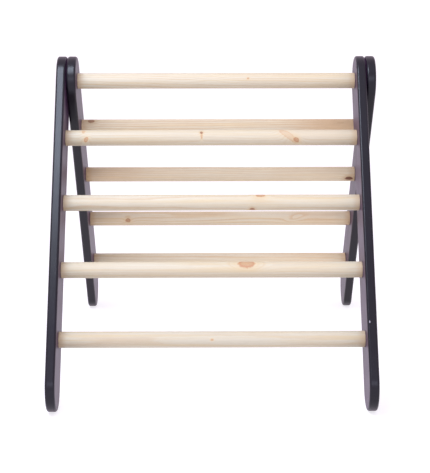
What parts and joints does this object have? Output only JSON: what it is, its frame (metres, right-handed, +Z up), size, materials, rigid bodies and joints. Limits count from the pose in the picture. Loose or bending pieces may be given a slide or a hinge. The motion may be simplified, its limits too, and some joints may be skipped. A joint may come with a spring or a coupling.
{
  "type": "toddler climbing frame",
  "caption": "Folding wooden climbing frame for toddlers: ladders hinged on a shared top rung, black rails with round ends and pale dowel rungs.",
  "frame": {"origin": "on the floor, at the middle of the footprint, straight under the middle of the top rung", "axes": "+X along the rungs, to the right of someone facing the front ladder; +Y from the front ladder to the back ladder; +Z up"},
  "size_m": [0.615, 0.7492, 0.6036],
  "materials": {
    "rail_lacquer": "satin black lacquer on board",
    "rung_pine": "sanded, clear matt",
    "bolt_black_steel": "black zinc",
    "insert_brass": "machined",
    "pin_steel": "zinc plated",
    "spacer_nylon": "natural nylon"
  },
  "bodies": {
    "front_ladder": {"front_outer_rail": "rail_lacquer", "front_inner_rail": "rail_lacquer", "front_stop_pin": "pin_steel", "front_rung_1": "rung_pine", "front_outer_bolt_1": "bolt_black_steel", "front_inner_bolt_1": "bolt_black_steel", "front_outer_insert_1": "insert_brass", "front_inner_insert_1": "insert_brass", "front_rung_2": "rung_pine", "front_outer_bolt_2": "bolt_black_steel", "front_inner_bolt_2": "bolt_black_steel", "front_outer_insert_2": "insert_brass", "front_inner_insert_2": "insert_brass", "front_rung_3": "rung_pine", "front_outer_bolt_3": "bolt_black_steel", "front_inner_bolt_3": "bolt_black_steel", "front_outer_insert_3": "insert_brass", "front_inner_insert_3": "insert_brass", "front_rung_4": "rung_pine", "front_outer_bolt_4": "bolt_black_steel", "front_inner_bolt_4": "bolt_black_steel", "front_outer_insert_4": "insert_brass", "front_inner_insert_4": "insert_brass", "top_rung": "rung_pine", "locating_pin": "pin_steel", "pivot_bolt_left": "bolt_black_steel", "pivot_sleeve_left": "pin_steel", "pivot_insert_left": "insert_brass", "pivot_spacer_left": "spacer_nylon", "pivot_bolt_right": "bolt_black_steel", "pivot_sleeve_right": "pin_steel", "pivot_insert_right": "insert_brass", "pivot_spacer_right": "spacer_nylon"},
    "back_ladder": {"back_outer_rail": "rail_lacquer", "back_inner_rail": "rail_lacquer", "back_stop_pin": "pin_steel", "back_rung_1": "rung_pine", "back_outer_bolt_1": "bolt_black_steel", "back_inner_bolt_1": "bolt_black_steel", "back_outer_insert_1": "insert_brass", "back_inner_insert_1": "insert_brass", "back_rung_2": "rung_pine", "back_outer_bolt_2": "bolt_black_steel", "back_inner_bolt_2": "bolt_black_steel", "back_outer_insert_2": "insert_brass", "back_inner_insert_2": "insert_brass", "back_rung_3": "rung_pine", "back_outer_bolt_3": "bolt_black_steel", "back_inner_bolt_3": "bolt_black_steel", "back_outer_insert_3": "insert_brass", "back_inner_insert_3": "insert_brass", "back_rung_4": "rung_pine", "back_outer_bolt_4": "bolt_black_steel", "back_inner_bolt_4": "bolt_black_steel", "back_outer_insert_4": "insert_brass", "back_inner_insert_4": "insert_brass"}
  },
  "joints": [
    {"name": "fold", "type": "hinge", "parent": "front_ladder", "child": "back_ladder", "pos_m": [0, 0, 0.5561], "axis": [1, 0, 0], "range_deg": [-34, 0]}
  ]
}
